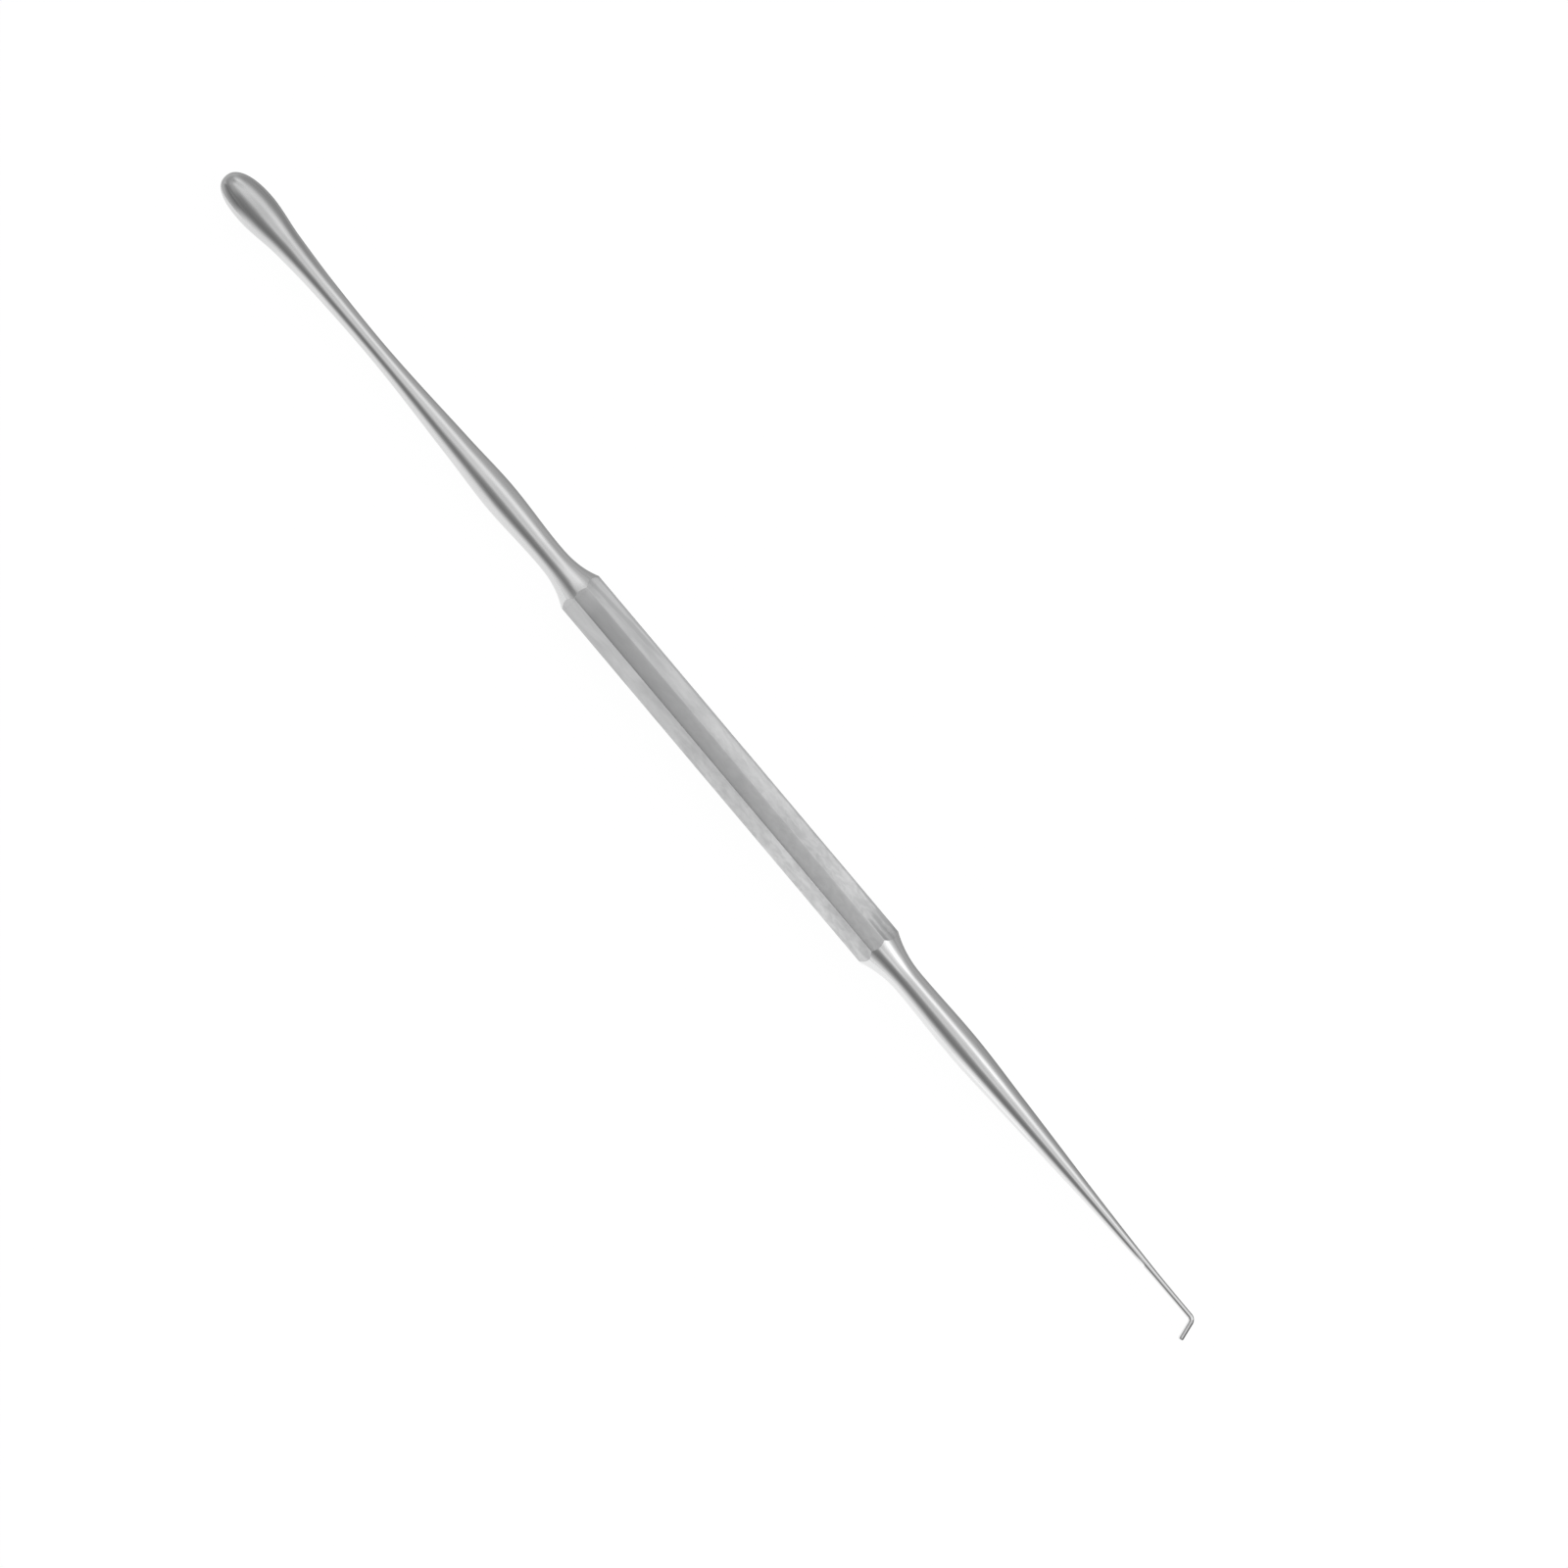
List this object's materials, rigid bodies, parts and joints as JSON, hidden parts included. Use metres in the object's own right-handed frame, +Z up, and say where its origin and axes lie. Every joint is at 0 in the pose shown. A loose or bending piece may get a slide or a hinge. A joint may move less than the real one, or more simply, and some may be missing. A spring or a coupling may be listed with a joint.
{
  "type": "ear pick",
  "caption": "Double-ended steel ear pick with an octagonal handle, a blunt drop-shaped spatula on one shank and a small bent hook on the other.",
  "frame": {"origin": "On the flat that the handle rests on, under the middle of the handle's length and width.", "axes": "+X along the tool towards the hook end, +Z up from the resting flat, and the hook's leg points to -Y."},
  "size_m": [0.1652, 0.0054, 0.0054],
  "materials": {
    "satin_steel": "satin",
    "polished_steel": "polished",
    "silver_braze": "satin"
  },
  "bodies": {
    "root": {"handle": "satin_steel", "spatula_end": "polished_steel", "hook_end": "polished_steel", "spatula_braze_ring": "silver_braze", "hook_braze_ring": "silver_braze"}
  },
  "joints": []
}
